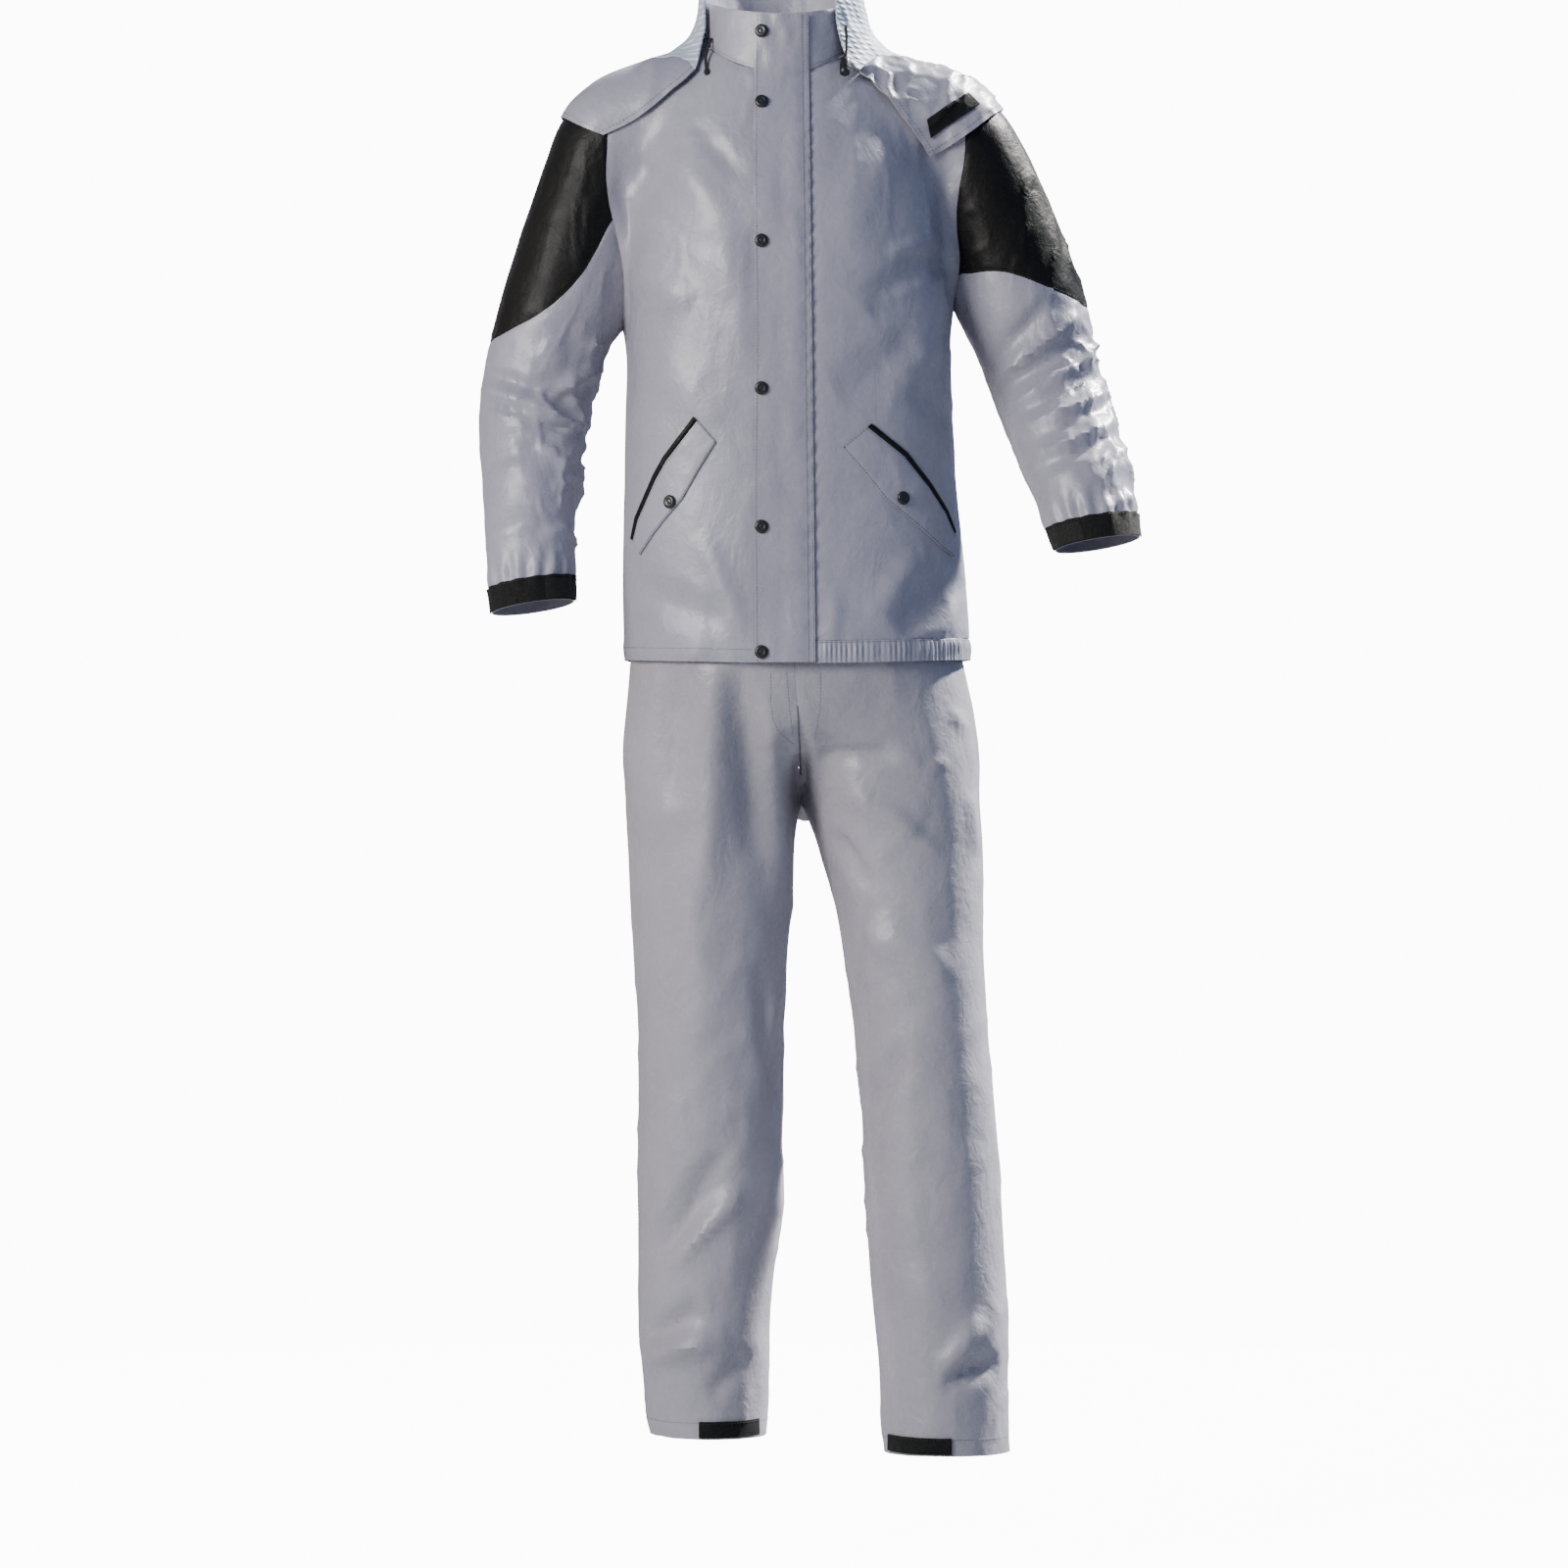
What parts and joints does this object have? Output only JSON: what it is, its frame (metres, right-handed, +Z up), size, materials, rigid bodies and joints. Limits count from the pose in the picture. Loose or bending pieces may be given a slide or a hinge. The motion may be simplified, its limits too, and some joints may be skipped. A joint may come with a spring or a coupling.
{
  "type": "rain suit",
  "caption": "Worn rain suit of coated cloth: hooded jacket with black upper sleeves, snapped storm flap and slanted pockets, and straight trousers.",
  "frame": {"origin": "centre of the neck where the collar is sewn on, where the wearer holds the jacket up", "axes": "+X to the wearer's left, +Y from front to back, +Z up"},
  "size_m": [0.7211, 0.3342, 1.6169],
  "materials": {
    "grey_cloth": "coated, satin",
    "black_cloth": "coated, satin",
    "hood_lining": "woven, matt",
    "black_tape": "hook and loop, matt",
    "black_snap": "satin",
    "black_cord": "braided, matt"
  },
  "bodies": {
    "root": {"collar": "grey_cloth", "cuff_tab_left": "black_tape", "cuff_tab_right": "black_tape", "hem_casing": "grey_cloth", "hood_bag": "grey_cloth", "hood_cord_left": "black_cord", "hood_cord_lock": "black_snap", "hood_cord_right": "black_cord", "hood_flap_left": "grey_cloth", "hood_flap_right": "grey_cloth", "hood_hook_patch": "black_tape", "hood_neck": "hood_lining", "jacket_back": "grey_cloth", "jacket_front_left": "grey_cloth", "jacket_front_right": "grey_cloth", "leg_tab_left": "black_tape", "leg_tab_right": "black_tape", "pocket_flap_left": "grey_cloth", "pocket_flap_right": "grey_cloth", "pocket_piping_left": "black_cloth", "pocket_piping_right": "black_cloth", "sleeve_black_left": "black_cloth", "sleeve_black_right": "black_cloth", "sleeve_grey_left": "grey_cloth", "sleeve_grey_right": "grey_cloth", "snap_front_1": "black_snap", "snap_front_2": "black_snap", "snap_front_3": "black_snap", "snap_front_4": "black_snap", "snap_front_5": "black_snap", "snap_front_6": "black_snap", "snap_pocket_left": "black_snap", "snap_pocket_right": "black_snap", "storm_flap": "grey_cloth", "trouser_back_left_lower": "grey_cloth", "trouser_back_left_upper": "grey_cloth", "trouser_back_right": "grey_cloth", "trouser_front_left_lower": "grey_cloth", "trouser_front_left_upper": "grey_cloth", "trouser_front_right": "grey_cloth", "waistband": "grey_cloth"}
  },
  "joints": []
}
